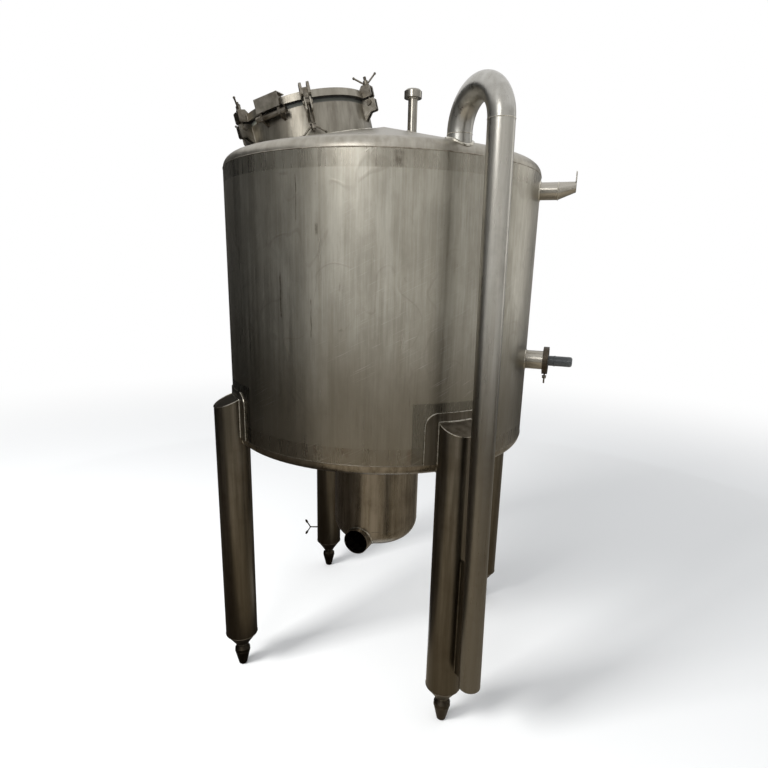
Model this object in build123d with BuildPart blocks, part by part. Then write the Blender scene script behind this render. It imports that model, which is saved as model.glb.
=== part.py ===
"""Balance tank on four legs, in millimetres.

+Z is up and the feet stand on Z = 0. Azimuths are read in plan from the -Y side
towards +X. The tank's own axis stands a little off the origin, so that the origin
lies under the middle of the whole outline.
"""
from build123d import *
from math import sin, cos, tan, atan2, radians, degrees
import os

os.makedirs("parts", exist_ok=True)

# Tank body.
shell_radius = 600.0          # outside
wall = 4.0                    # shell and both heads
lower_seam_z = 1028.0
upper_seam_z = 1996.0
knuckle_radius = 40.0         # outside radius where shell turns into cone
cone_slope = 14.75            # degrees, both heads

# Sump and outlet.
sump_radius = 184.0
sump_wall = 4.0
sump_side_z = 580.0           # lower end of the straight side
sump_knuckle = 85.0
sump_floor_slope = 8.0
outlet_radius = 54.0
outlet_wall = 2.0
outlet_azimuth = -4.0
outlet_z = 538.0
outlet_length = 23.0          # clear of the sump's side

# Legs.
leg_azimuths = (45.0, 135.0, 225.0, 315.0)
leg_radius = 64.5
leg_wall = 3.0
leg_offset = 18.0             # leg axis, outside the shell
leg_end_z = 155.0             # lower end of the straight tube
leg_cone_z = 101.0            # lower end of the closing cone
leg_cone_radius = 27.0
leg_top_outer_z = 1140.0      # sloping cap, at the leg's outer face
leg_cap_slope = 23.0          # degrees, rising towards the shell
leg_cap_thickness = 4.0

pad_half_width = 109.5
pad_top_z = 1204.0
pad_corner = 45.0
pad_thickness = 4.0

foot_tip_radius = 13.0
foot_radius = 31.0
foot_tip_round = 4.0
foot_shoulder_z = 64.0
foot_crown_z = 78.0
foot_neck_z = 91.0
foot_neck_radius = 17.0

screw_azimuth = 290.0         # direction in which the wing screw leaves its leg
screw_z = 232.0
screw_length = 42.0
screw_radius = 3.5
screw_wing = 40.0
screw_wing_angle = 58.0       # of each wing, from the stem's line
screw_wing_width = 5.0
screw_wing_thickness = 5.0
screw_knob_length = 24.0      # of the oval end of each wing
screw_knob_width = 12.0
screw_seat = 0.2              # between the stem's flat end and the round leg

# Overflow.
overflow_radius = 38.05
overflow_wall = 2.0
overflow_azimuth = 44.0
overflow_lean = 0.9           # degrees, sideways, its foot towards +Y
overflow_bend_radius = 104.0
overflow_offset = 160.0       # down-pipe axis at the bend, outside the shell
overflow_rise = 58.0          # ends of the half-turn, above the upper seam
overflow_length = 1804.0      # down-pipe
stay_thickness = 5.0
stay_top_z = 700.0

# Vent.
vent_azimuth = 70.0
vent_reach = 135.0
vent_radius = 17.0
vent_wall = 1.5
vent_top_z = 2262.0
vent_cap_radius = 32.0
vent_cap_height = 28.0

# Manway.
manway_azimuth = -80.0
manway_offset = 318.0         # neck axis where it meets the cone, inside the shell
neck_radius = 246.0
neck_wall = 4.0
neck_height = 78.0
gasket_height = 16.0
gasket_setback = 2.0          # of its outer edge, behind the neck's
gasket_width = 14.0
lid_radius = 258.0
lid_band_height = 24.0
lid_thickness = 4.0
lid_dome = 22.0

# Lid clamps. Heights are above the cone along the neck, reaches from the neck's axis.
plate_root = 10.0             # of lugs and forks, drawn into neck and lid before trimming
clamp_first_angle = 17.5      # the released clamp
nut_turns = (0.0, 114.0, 60.0, 20.0, 150.0, -36.0)   # degrees, of each nut's arms about its rod
pin_radius = 5.0
pin_running_clearance = 0.05
pin_reach = 273.0
pin_height = 76.0
pin_head_radius = 8.0
pin_head_length = 5.0
cheek_gap = 14.0
cheek_thickness = 5.0
cheek_reach = 296.0
cheek_top = 88.0
cheek_bottom = 44.0
cheek_corner = 4.0
cheek_toe = 18.0              # where the taper under the cheek ends on the neck
cheek_toe_width = 26.0
eye_radius = 11.0
eye_width = 12.0
rod_radius = 5.0
rod_length = 90.0
nut_radius = 9.0
nut_height = 16.0
nut_arm_radius = 3.2
nut_arm_base = 5.0            # above the nut's lower face
nut_arm_reach = 40.0
nut_arm_rise = 28.0
nut_screwed_out = 8.0         # of the released clamp, over a tightened one
fork_slot = 18.0
fork_cheek = 9.0
fork_height = 42.0            # top, above the lid band's lower edge
fork_back = 4.0
fork_reach = 290.0
fork_corner = 5.0
fork_top_width = 31.0
hinge_angle = -11.0
hinge_half_width = 47.0
hinge_depth = 30.0
hinge_plate = 3.0
hinge_cover_top = 12.0        # above the lid band's top
hinge_cover_drop = 46.0       # of its front
hinge_cover_inset = 22.0      # of its back edge, from the lid band
hinge_rib_inset = 10.0        # of the filled middle, from the cover's ends
hinge_pin_radius = 10.0
hinge_pin_reach = 271.0
hinge_pin_height = 70.0
hinge_pin_overhang = 14.0     # past the cover's ends
hinge_lug_thickness = 8.0
hinge_lug_inset = 16.0        # from the cover's ends
hinge_lug_toe = 46.0

# Side nozzles.
upper_azimuth = 90.0
upper_z = 1942.0
upper_radius = 30.15
upper_wall = 2.0
upper_stub_length = 64.0      # clear of the shell
upper_reducer_length = 60.0
upper_small_radius = 18.0
upper_tab_height = 34.0
upper_tab_thickness = 4.0
upper_tab_width = 24.0

lower_azimuth = 90.0
lower_z = 1334.0
lower_radius = 35.0
lower_wall = 2.0
lower_stub_length = 76.0      # clear of the shell, to the ferrule's face
ferrule_radius = 45.5
ferrule_thickness = 3.0
clamp_ring_radius = 52.0
clamp_ring_width = 20.0
clamp_screw_length = 40.0
clamp_screw_radius = 3.0
probe_radius = 19.0
probe_length = 97.0
probe_round = 9.0

# Set-out.
axis_x = -(lower_stub_length + probe_length) / 2
axis_y = 0.0
leg_circle = shell_radius + leg_offset
manway_reach = shell_radius - manway_offset
outlet_reach = sump_radius + outlet_length
upper_weld_reach = shell_radius + upper_stub_length
upper_reach = upper_weld_reach + upper_reducer_length
lower_reach = shell_radius + lower_stub_length
slope = radians(cone_slope)
tank_axis = Axis((axis_x, axis_y, 0), (0, 0, 1))


def outward(azimuth):
    a = radians(azimuth)
    return Vector(sin(a), -cos(a), 0)


def tangent(azimuth):
    a = radians(azimuth)
    return Vector(cos(a), sin(a), 0)


def station(azimuth, reach, z):
    return Vector(axis_x, axis_y, z) + outward(azimuth) * reach


def meridian(azimuth=90.0):
    """Upright plane through the tank's axis: local x outward, local y up."""
    return Plane(origin=(axis_x, axis_y, 0), x_dir=outward(azimuth), z_dir=tangent(azimuth) * -1)


def facing(azimuth, reach, z):
    """Upright plane across a radius: local x sideways, local y up, normal outward."""
    return Plane(origin=station(azimuth, reach, z), x_dir=tangent(azimuth), z_dir=outward(azimuth))


def level(z):
    return Plane(origin=(axis_x, axis_y, z), x_dir=(1, 0, 0), z_dir=(0, 0, 1))


def post(azimuth, reach, z):
    """Level plane at a station: local x outward, local y sideways."""
    return Plane(origin=station(azimuth, reach, z), x_dir=outward(azimuth), z_dir=(0, 0, 1))


# Outside heights of the heads on the tank's axis.
knuckle_centre = shell_radius - knuckle_radius
cone_start = knuckle_centre + knuckle_radius * sin(slope)
cone_rise = knuckle_radius * cos(slope) + cone_start * tan(slope)
top_apex_z = upper_seam_z + cone_rise
bottom_apex_z = lower_seam_z - cone_rise
inner_apex_drop = wall / cos(slope)


def cone_z(reach):
    return top_apex_z - reach * tan(slope)


# Trimming solids.
# The tank's outside, and the same with the pads' thickness added on the shell.
with BuildPart() as outside:
    with BuildSketch(meridian()):
        with BuildLine():
            Polyline((cone_start, top_apex_z - cone_start * tan(slope)), (0, top_apex_z),
                     (0, bottom_apex_z), (cone_start, bottom_apex_z + cone_start * tan(slope)))
            CenterArc((knuckle_centre, lower_seam_z), knuckle_radius, -90 + cone_slope, 90 - cone_slope)
            Line((shell_radius, lower_seam_z), (shell_radius, upper_seam_z))
            CenterArc((knuckle_centre, upper_seam_z), knuckle_radius, 0, 90 - cone_slope)
        make_face()
    revolve(axis=tank_axis)

with BuildPart() as padded_outside:
    add(outside.part)
    with BuildSketch(level(lower_seam_z)):
        Circle(shell_radius + pad_thickness)
    extrude(amount=upper_seam_z - lower_seam_z)

sump_floor_start = sump_radius - sump_knuckle + sump_knuckle * sin(radians(sump_floor_slope))
sump_floor_z = sump_side_z - sump_knuckle * cos(radians(sump_floor_slope))
sump_apex_z = sump_floor_z - sump_floor_start * tan(radians(sump_floor_slope))
sump_top_z = bottom_apex_z + sump_radius * tan(slope)

with BuildPart() as sump_outside:
    with BuildSketch(meridian()):
        with BuildLine():
            Line((sump_floor_start, sump_floor_z), (0, sump_apex_z))
            Polyline((0, sump_apex_z), (0, sump_top_z), (sump_radius, sump_top_z),
                     (sump_radius, sump_side_z))
            CenterArc((sump_radius - sump_knuckle, sump_side_z), sump_knuckle,
                      -90 + sump_floor_slope, 90 - sump_floor_slope)
        make_face()
    revolve(axis=tank_axis)

# Manway frame.
# Local x sideways, local y up the cone, local z out along the neck.
m_out = outward(manway_azimuth)
m_normal = m_out * sin(slope) + Vector(0, 0, 1) * cos(slope)
manway_foot = station(manway_azimuth, manway_reach, cone_z(manway_reach))


def neck_plane(height):
    return Plane(origin=manway_foot + m_normal * height, x_dir=tangent(manway_azimuth), z_dir=m_normal)


def clamp_plane(angle, reach=pin_reach, height=pin_height):
    """At a clamp: local x sideways, local y away from the neck, local z along the neck."""
    base = neck_plane(height)
    a = radians(angle)
    away = base.x_dir * cos(a) + base.y_dir * sin(a)
    side = base.x_dir * sin(a) - base.y_dir * cos(a)
    return Plane(origin=base.origin + away * reach, x_dir=side, z_dir=m_normal)


def clamp_section(angle, offset, reach=pin_reach, height=pin_height):
    """Plane across the pin: local x away from the neck, local y along the neck."""
    p = clamp_plane(angle, reach, height)
    return Plane(origin=p.origin + p.x_dir * offset, x_dir=p.y_dir, z_dir=p.x_dir)


neck_bore = neck_radius - neck_wall
gasket_radius = neck_radius - gasket_setback
gasket_bore = gasket_radius - gasket_width
lid_bottom = neck_height + gasket_height
lid_top = lid_bottom + lid_band_height

# Overflow frame.
# Its origin is the bend's centre, local x outward and local y up along the down-pipe.
bend_reach = shell_radius + overflow_offset - overflow_bend_radius
overflow_out = outward(overflow_azimuth)
overflow_up = (Vector(0, 0, 1) * cos(radians(overflow_lean))
               - tangent(overflow_azimuth) * sin(radians(overflow_lean)))
overflow_plane = Plane(origin=station(overflow_azimuth, bend_reach, upper_seam_z + overflow_rise),
                       x_dir=overflow_out, z_dir=overflow_out.cross(overflow_up))


def overflow_ring(x, y):
    """Plane across the overflow at local x and y: local x outward, normal up along it."""
    return Plane(origin=overflow_plane.origin + overflow_out * x + overflow_up * y,
                 x_dir=overflow_out, z_dir=overflow_up)


# Shell and heads.
upper_bore = upper_radius - upper_wall
lower_bore = lower_radius - lower_wall

with BuildPart() as shell:
    with BuildSketch(level(lower_seam_z)):
        Circle(shell_radius)
        Circle(shell_radius - wall, mode=Mode.SUBTRACT)
    extrude(amount=upper_seam_z - lower_seam_z)
    for azimuth, z, bore in ((upper_azimuth, upper_z, upper_bore), (lower_azimuth, lower_z, lower_bore)):
        with BuildSketch(facing(azimuth, shell_radius - 3 * wall, z)):
            Circle(bore)
        extrude(amount=6 * wall, mode=Mode.SUBTRACT)
shell.part.label = "shell"
export_step(shell.part, "parts/shell.step")

overflow_bore = overflow_radius - overflow_wall

with BuildPart() as top_head:
    with BuildSketch(meridian()):
        with BuildLine():
            Line((cone_start, top_apex_z - cone_start * tan(slope)), (0, top_apex_z))
            Line((0, top_apex_z), (0, top_apex_z - inner_apex_drop))
            Line((0, top_apex_z - inner_apex_drop),
                 (knuckle_centre + (knuckle_radius - wall) * sin(slope),
                  upper_seam_z + (knuckle_radius - wall) * cos(slope)))
            CenterArc((knuckle_centre, upper_seam_z), knuckle_radius - wall, 0, 90 - cone_slope)
            Line((shell_radius - wall, upper_seam_z), (shell_radius, upper_seam_z))
            CenterArc((knuckle_centre, upper_seam_z), knuckle_radius, 0, 90 - cone_slope)
        make_face()
    revolve(axis=tank_axis)
    with BuildSketch(neck_plane(-neck_radius)):
        Circle(neck_bore)
    extrude(amount=2 * neck_radius, mode=Mode.SUBTRACT)
    with BuildSketch(overflow_ring(-overflow_bend_radius, -overflow_rise)):
        Circle(overflow_bore)
    extrude(amount=2 * overflow_rise, mode=Mode.SUBTRACT)
    with BuildSketch(post(vent_azimuth, vent_reach, upper_seam_z)):
        Circle(vent_radius - vent_wall)
    extrude(amount=vent_top_z - upper_seam_z, mode=Mode.SUBTRACT)
top_head.part.label = "top_head"
export_step(top_head.part, "parts/top_head.step")

with BuildPart() as bottom_head:
    with BuildSketch(meridian()):
        with BuildLine():
            Line((cone_start, bottom_apex_z + cone_start * tan(slope)), (0, bottom_apex_z))
            Line((0, bottom_apex_z), (0, bottom_apex_z + inner_apex_drop))
            Line((0, bottom_apex_z + inner_apex_drop),
                 (knuckle_centre + (knuckle_radius - wall) * sin(slope),
                  lower_seam_z - (knuckle_radius - wall) * cos(slope)))
            CenterArc((knuckle_centre, lower_seam_z), knuckle_radius - wall,
                      -90 + cone_slope, 90 - cone_slope)
            Line((shell_radius - wall, lower_seam_z), (shell_radius, lower_seam_z))
            CenterArc((knuckle_centre, lower_seam_z), knuckle_radius,
                      -90 + cone_slope, 90 - cone_slope)
        make_face()
    revolve(axis=tank_axis)
    with BuildSketch(level(sump_side_z)):
        Circle(sump_radius - sump_wall)
    extrude(amount=lower_seam_z - sump_side_z, mode=Mode.SUBTRACT)
bottom_head.part.label = "bottom_head"
export_step(bottom_head.part, "parts/bottom_head.step")

# Sump.
with BuildPart() as outlet_bore:
    with BuildSketch(facing(outlet_azimuth, 0, outlet_z)):
        Circle(outlet_radius - outlet_wall)
    extrude(amount=outlet_reach)

with BuildPart() as sump_shell:
    with BuildSketch(level(sump_side_z)):
        Circle(sump_radius)
        Circle(sump_radius - sump_wall, mode=Mode.SUBTRACT)
    extrude(amount=sump_top_z - sump_side_z)
    add(outside.part, mode=Mode.SUBTRACT)
    add(outlet_bore.part, mode=Mode.SUBTRACT)
sump_shell.part.label = "sump_shell"
export_step(sump_shell.part, "parts/sump_shell.step")

sump_centre = sump_radius - sump_knuckle
sump_inner = sump_knuckle - sump_wall
floor_slope = radians(sump_floor_slope)

with BuildPart() as sump_bottom:
    with BuildSketch(meridian()):
        with BuildLine():
            Line((sump_floor_start, sump_floor_z), (0, sump_apex_z))
            Line((0, sump_apex_z), (0, sump_apex_z + sump_wall / cos(floor_slope)))
            Line((0, sump_apex_z + sump_wall / cos(floor_slope)),
                 (sump_centre + sump_inner * sin(floor_slope),
                  sump_side_z - sump_inner * cos(floor_slope)))
            CenterArc((sump_centre, sump_side_z), sump_inner,
                      -90 + sump_floor_slope, 90 - sump_floor_slope)
            Line((sump_radius - sump_wall, sump_side_z), (sump_radius, sump_side_z))
            CenterArc((sump_centre, sump_side_z), sump_knuckle,
                      -90 + sump_floor_slope, 90 - sump_floor_slope)
        make_face()
    revolve(axis=tank_axis)
    add(outlet_bore.part, mode=Mode.SUBTRACT)
sump_bottom.part.label = "sump_bottom"
export_step(sump_bottom.part, "parts/sump_bottom.step")

with BuildPart() as sump_outlet:
    with BuildSketch(facing(outlet_azimuth, 0, outlet_z)):
        Circle(outlet_radius)
        Circle(outlet_radius - outlet_wall, mode=Mode.SUBTRACT)
    extrude(amount=outlet_reach)
    add(sump_outside.part, mode=Mode.SUBTRACT)
sump_outlet.part.label = "sump_outlet"
export_step(sump_outlet.part, "parts/sump_outlet.step")

# Legs, pads and feet.
leg_outer = leg_circle + leg_radius
cap_rise = tan(radians(leg_cap_slope))
leg_top_z = leg_top_outer_z + 2 * leg_radius * cap_rise
cap_drop = leg_cap_thickness / cos(radians(leg_cap_slope))
cap_run = 4 * leg_radius      # of the cutting shapes, past the leg on both sides
cap_near_z = leg_top_outer_z - cap_run * cap_rise
cap_far_z = leg_top_outer_z + cap_run * cap_rise

for number, azimuth in enumerate(leg_azimuths, 1):
    # Closed at the top by the sloping cap and below by the cone.
    with BuildPart() as leg:
        with BuildSketch(meridian(azimuth)):
            with BuildLine():
                Polyline((leg_circle, leg_cone_z), (leg_circle + leg_cone_radius, leg_cone_z),
                         (leg_outer, leg_end_z), (leg_outer, leg_top_z), (leg_circle, leg_top_z),
                         close=True)
            make_face()
        revolve(axis=Axis(station(azimuth, leg_circle, 0), (0, 0, 1)))
        with BuildSketch(meridian(azimuth)):
            with BuildLine():
                Polyline((leg_outer + cap_run, cap_near_z), (leg_outer + cap_run, 2 * cap_far_z),
                         (leg_outer - cap_run, 2 * cap_far_z), (leg_outer - cap_run, cap_far_z),
                         close=True)
            make_face()
        extrude(amount=2 * leg_radius, both=True, mode=Mode.SUBTRACT)
        add(padded_outside.part, mode=Mode.SUBTRACT)
        # The hollow keeps the wall against the cap, the cone and the shell.
        with BuildPart(mode=Mode.PRIVATE) as hollow:
            with BuildSketch(meridian(azimuth)):
                with BuildLine():
                    Polyline((leg_circle, leg_cone_z + leg_wall),
                             (leg_circle + leg_cone_radius - leg_wall, leg_cone_z + leg_wall),
                             (leg_outer - leg_wall, leg_end_z), (leg_outer - leg_wall, leg_top_z),
                             (leg_circle, leg_top_z), close=True)
                make_face()
            revolve(axis=Axis(station(azimuth, leg_circle, 0), (0, 0, 1)))
            with BuildSketch(meridian(azimuth)):
                with BuildLine():
                    Polyline((leg_outer + cap_run, cap_near_z - cap_drop),
                             (leg_outer + cap_run, 2 * cap_far_z), (leg_outer - cap_run, 2 * cap_far_z),
                             (leg_outer - cap_run, cap_far_z - cap_drop), close=True)
                make_face()
            extrude(amount=2 * leg_radius, both=True, mode=Mode.SUBTRACT)
            add(padded_outside.part, mode=Mode.SUBTRACT)
        add(hollow.part, mode=Mode.SUBTRACT)
    leg.part.label = f"leg_{number}"
    export_step(leg.part, f"parts/leg_{number}.step")

    with BuildPart() as leg_pad:
        with BuildSketch(level(lower_seam_z)):
            Circle(shell_radius + pad_thickness)
            Circle(shell_radius, mode=Mode.SUBTRACT)
        extrude(amount=pad_top_z - lower_seam_z)
        with BuildSketch(facing(azimuth, shell_radius / 2, 0)):
            with BuildLine():
                Polyline((-pad_half_width, lower_seam_z), (pad_half_width, lower_seam_z),
                         (pad_half_width, pad_top_z - pad_corner))
                CenterArc((pad_half_width - pad_corner, pad_top_z - pad_corner), pad_corner, 0, 90)
                Line((pad_half_width - pad_corner, pad_top_z), (pad_corner - pad_half_width, pad_top_z))
                CenterArc((pad_corner - pad_half_width, pad_top_z - pad_corner), pad_corner, 90, 90)
                Line((-pad_half_width, pad_top_z - pad_corner), (-pad_half_width, lower_seam_z))
            make_face()
        extrude(amount=shell_radius, mode=Mode.INTERSECT)
    leg_pad.part.label = f"leg_pad_{number}"
    export_step(leg_pad.part, f"parts/leg_pad_{number}.step")

    with BuildPart() as foot:
        with BuildSketch(meridian(azimuth)):
            with BuildLine():
                Polyline((leg_circle, 0), (leg_circle + foot_tip_radius, 0),
                         (leg_circle + foot_tip_radius + foot_tip_round, foot_tip_round),
                         (leg_circle + foot_radius, foot_shoulder_z),
                         (leg_circle + foot_radius, foot_crown_z),
                         (leg_circle + foot_neck_radius, foot_neck_z),
                         (leg_circle + foot_neck_radius, leg_cone_z),
                         (leg_circle, leg_cone_z), close=True)
            make_face()
        revolve(axis=Axis(station(azimuth, leg_circle, 0), (0, 0, 1)))
    foot.part.label = f"foot_{number}"
    export_step(foot.part, f"parts/foot_{number}.step")

# Wing screw in the third leg's side, near its lower end: two flat wings with oval ends.
screw_leg = leg_azimuths[2]
screw_out = outward(screw_azimuth)
screw_root = station(screw_leg, leg_circle, screw_z) + screw_out * (leg_radius + screw_seat)
wing_root = screw_root + screw_out * (screw_length - screw_radius)
wing_end_x = screw_wing * cos(radians(screw_wing_angle))
wing_end_y = screw_wing * sin(radians(screw_wing_angle))
with BuildPart() as leg_screw:
    with BuildSketch(Plane(origin=screw_root, x_dir=tangent(screw_azimuth), z_dir=screw_out)):
        Circle(screw_radius)
    extrude(amount=screw_length)
    with BuildSketch(Plane(origin=wing_root, x_dir=screw_out, z_dir=tangent(screw_azimuth) * -1)):
        for side in (-1, 1):
            with Locations((wing_end_x / 2, side * wing_end_y / 2)):
                Rectangle(screw_wing, screw_wing_width, rotation=side * screw_wing_angle)
            with Locations((wing_end_x, side * wing_end_y)):
                Ellipse(screw_knob_length / 2, screw_knob_width / 2, rotation=side * screw_wing_angle)
    extrude(amount=screw_wing_thickness / 2, both=True)
leg_screw.part.label = "leg_screw"
export_step(leg_screw.part, "parts/leg_screw.step")

# Overflow.
with BuildPart() as overflow_bend:
    with BuildLine() as bend_path:
        with BuildLine(overflow_plane):
            Line((-overflow_bend_radius, -overflow_rise), (-overflow_bend_radius, 0))
            CenterArc((0, 0), overflow_bend_radius, 180, -180)
    with BuildSketch(overflow_ring(-overflow_bend_radius, -overflow_rise)):
        Circle(overflow_radius)
        Circle(overflow_bore, mode=Mode.SUBTRACT)
    sweep(path=bend_path.wires()[0])
    add(outside.part, mode=Mode.SUBTRACT)
overflow_bend.part.label = "overflow_bend"
export_step(overflow_bend.part, "parts/overflow_bend.step")

with BuildPart() as overflow_pipe:
    with BuildSketch(overflow_ring(overflow_bend_radius, -overflow_length)):
        Circle(overflow_radius)
        Circle(overflow_bore, mode=Mode.SUBTRACT)
    extrude(amount=overflow_length)
overflow_pipe.part.label = "overflow_pipe"
export_step(overflow_pipe.part, "parts/overflow_pipe.step")

# Flat upright web between the first leg and the down-pipe, level with the pipe's open end.
pipe_end = overflow_ring(overflow_bend_radius, -overflow_length).origin
stay_height = stay_top_z - pipe_end.Z
pipe_middle = pipe_end + overflow_up * (stay_height / 2)
leg_post = station(leg_azimuths[0], leg_circle, pipe_end.Z)
stay_run = Vector(pipe_middle.X, pipe_middle.Y, pipe_end.Z) - leg_post
with BuildPart() as pipe_stay:
    with BuildSketch(Plane(origin=leg_post, x_dir=stay_run.normalized(), z_dir=(0, 0, 1))):
        with Locations((stay_run.length / 2, 0)):
            Rectangle(stay_run.length, stay_thickness)
    extrude(amount=stay_height)
    with BuildSketch(post(leg_azimuths[0], leg_circle, pipe_end.Z)):
        Circle(leg_radius)
    extrude(amount=stay_height, mode=Mode.SUBTRACT)
    with BuildSketch(overflow_ring(overflow_bend_radius, -overflow_length - overflow_radius)):
        Circle(overflow_radius)
    extrude(amount=overflow_length, mode=Mode.SUBTRACT)
pipe_stay.part.label = "pipe_stay"
export_step(pipe_stay.part, "parts/pipe_stay.step")

# Vent.
with BuildPart() as vent_stub:
    with BuildSketch(post(vent_azimuth, vent_reach, upper_seam_z)):
        Circle(vent_radius)
        Circle(vent_radius - vent_wall, mode=Mode.SUBTRACT)
    extrude(amount=vent_top_z - upper_seam_z)
    add(outside.part, mode=Mode.SUBTRACT)
vent_stub.part.label = "vent_stub"
export_step(vent_stub.part, "parts/vent_stub.step")

with BuildPart() as vent_cap:
    with BuildSketch(post(vent_azimuth, vent_reach, vent_top_z)):
        Circle(vent_cap_radius)
    extrude(amount=vent_cap_height)
    chamfer(vent_cap.edges().group_by(Axis.Z)[-1], 6)
vent_cap.part.label = "vent_cap"
export_step(vent_cap.part, "parts/vent_cap.step")

# Manway.
with BuildPart() as manway_neck:
    with BuildSketch(neck_plane(-120)):
        Circle(neck_radius)
        Circle(neck_bore, mode=Mode.SUBTRACT)
    extrude(amount=120 + neck_height)
    add(outside.part, mode=Mode.SUBTRACT)
manway_neck.part.label = "manway_neck"
export_step(manway_neck.part, "parts/manway_neck.step")

with BuildPart() as manway_gasket:
    with BuildSketch(neck_plane(neck_height)):
        Circle(gasket_radius)
        Circle(gasket_bore, mode=Mode.SUBTRACT)
    extrude(amount=gasket_height)
manway_gasket.part.label = "manway_gasket"
export_step(manway_gasket.part, "parts/manway_gasket.step")

# Upright band closed by a shallow cone.
lid_section = Plane(origin=manway_foot, x_dir=tangent(manway_azimuth),
                    z_dir=tangent(manway_azimuth).cross(m_normal))
with BuildPart() as manway_lid:
    with BuildSketch(lid_section):
        with BuildLine():
            Polyline((lid_radius, lid_bottom), (lid_radius, lid_top), (0, lid_top + lid_dome),
                     (0, lid_top + lid_dome - lid_thickness),
                     (lid_radius - lid_thickness, lid_top - lid_thickness),
                     (lid_radius - lid_thickness, lid_bottom + lid_thickness),
                     (gasket_bore, lid_bottom + lid_thickness), (gasket_bore, lid_bottom), close=True)
        make_face()
    revolve(axis=Axis(manway_foot, m_normal))
manway_lid.part.label = "manway_lid"
export_step(manway_lid.part, "parts/manway_lid.step")

# Lid clamps.
clamp_count = len(nut_turns)
clamp_angles = [clamp_first_angle + 360 / clamp_count * i for i in range(clamp_count)]
fork_top = lid_bottom + fork_height
neck_root = neck_radius - plate_root
lid_root = lid_radius - plate_root

with BuildPart() as neck_outside:
    with BuildSketch(neck_plane(-neck_height)):
        Circle(neck_radius)
    extrude(amount=2 * neck_height + gasket_height)

with BuildPart() as lid_outside:
    with BuildSketch(neck_plane(lid_bottom)):
        Circle(lid_radius)
    extrude(amount=lid_band_height)
    with BuildSketch(lid_section):
        with BuildLine():
            Polyline((0, lid_top), (lid_radius, lid_top), (0, lid_top + lid_dome), close=True)
        make_face()
    revolve(axis=Axis(manway_foot, m_normal))

# Lugs on the neck: two cheeks each, square round the pin and tapered under it.
with BuildPart() as neck_lugs:
    for angle in clamp_angles:
        for side in (-1, 1):
            with BuildSketch(clamp_section(angle, side * cheek_gap / 2, 0, 0)):
                with BuildLine():
                    Polyline((neck_root, cheek_toe), (neck_radius, cheek_toe),
                             (neck_radius + cheek_toe_width, cheek_bottom),
                             (cheek_reach - cheek_corner, cheek_bottom),
                             (cheek_reach, cheek_bottom + cheek_corner),
                             (cheek_reach, cheek_top - cheek_corner),
                             (cheek_reach - cheek_corner, cheek_top), (neck_root, cheek_top), close=True)
                make_face()
            extrude(amount=side * cheek_thickness)
        with BuildSketch(clamp_section(angle, -cheek_gap / 2 - cheek_thickness)):
            Circle(pin_radius)
        extrude(amount=cheek_gap + 2 * cheek_thickness)
        for side in (-1, 1):
            with BuildSketch(clamp_section(angle, side * (cheek_gap / 2 + cheek_thickness))):
                Circle(pin_head_radius)
            extrude(amount=side * pin_head_length)
    add(neck_outside.part, mode=Mode.SUBTRACT)
neck_lugs.part.label = "neck_lugs"
export_step(neck_lugs.part, "parts/neck_lugs.step")

# Forks on the lid: two prongs each, joined by a back plate, open outwards for the bolt.
with BuildPart() as lid_forks:
    for angle in clamp_angles:
        for side in (-1, 1):
            with BuildSketch(clamp_section(angle, side * fork_slot / 2, 0, 0)):
                with BuildLine():
                    Polyline((lid_root, lid_bottom), (fork_reach - fork_corner, lid_bottom),
                             (fork_reach, lid_bottom + fork_corner), (fork_reach, fork_top - fork_corner),
                             (fork_reach - fork_corner, fork_top), (fork_reach - fork_top_width, fork_top),
                             (lid_root, lid_top + fork_corner), close=True)
                make_face()
            extrude(amount=side * fork_cheek)
        with BuildSketch(clamp_section(angle, -fork_slot / 2, 0, 0)):
            with BuildLine():
                Polyline((lid_root, lid_bottom), (lid_radius + fork_back, lid_bottom),
                         (lid_radius + fork_back, lid_top + 2 * fork_corner),
                         (lid_root, lid_top + fork_corner), close=True)
            make_face()
        extrude(amount=fork_slot)
    add(lid_outside.part, mode=Mode.SUBTRACT)
lid_forks.part.label = "lid_forks"
export_step(lid_forks.part, "parts/lid_forks.step")

# A bolt is built upright on its own pin and then turned about it.
up = Vector(0, 0, 1)
nut_tight = fork_top - pin_height
for number, angle in enumerate(clamp_angles, 1):
    released = number == 1
    pin_frame = clamp_plane(angle)
    lean = 0.0
    if released:
        lean = degrees(atan2(-pin_frame.y_dir.dot(up), -pin_frame.z_dir.dot(up)))
    nut_base = nut_tight + (nut_screwed_out if released else 0.0)
    arm_base = nut_base + nut_arm_base
    turn = radians(nut_turns[number - 1])
    with BuildPart() as swing_bolt:
        with BuildSketch(Plane(origin=(-eye_width / 2, 0, 0), x_dir=(0, 1, 0), z_dir=(1, 0, 0))):
            Circle(eye_radius)
        extrude(amount=eye_width)
        with BuildSketch(Plane.XY):
            Circle(rod_radius)
        extrude(amount=rod_length)
        with BuildSketch(Plane.XY.offset(nut_base)):
            Circle(nut_radius)
        extrude(amount=nut_height)
        for side in (-1, 1):
            arm_out = Vector(side * cos(turn), side * sin(turn), 0)
            arm_start = arm_out * rod_radius + up * arm_base
            arm_end = arm_out * nut_arm_reach + up * (arm_base + nut_arm_rise)
            with BuildSketch(Plane(origin=arm_start, z_dir=arm_end - arm_start)):
                Circle(nut_arm_radius)
            extrude(amount=(arm_end - arm_start).length)
        with BuildSketch(Plane(origin=(-eye_width, 0, 0), x_dir=(0, 1, 0), z_dir=(1, 0, 0))):
            Circle(pin_radius + pin_running_clearance)
        extrude(amount=2 * eye_width, mode=Mode.SUBTRACT)
    placed = swing_bolt.part.rotate(Axis.X, -lean)
    placed = Location(pin_frame) * placed
    placed.label = f"swing_bolt_{number}"
    export_step(placed, f"parts/swing_bolt_{number}.step")

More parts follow.
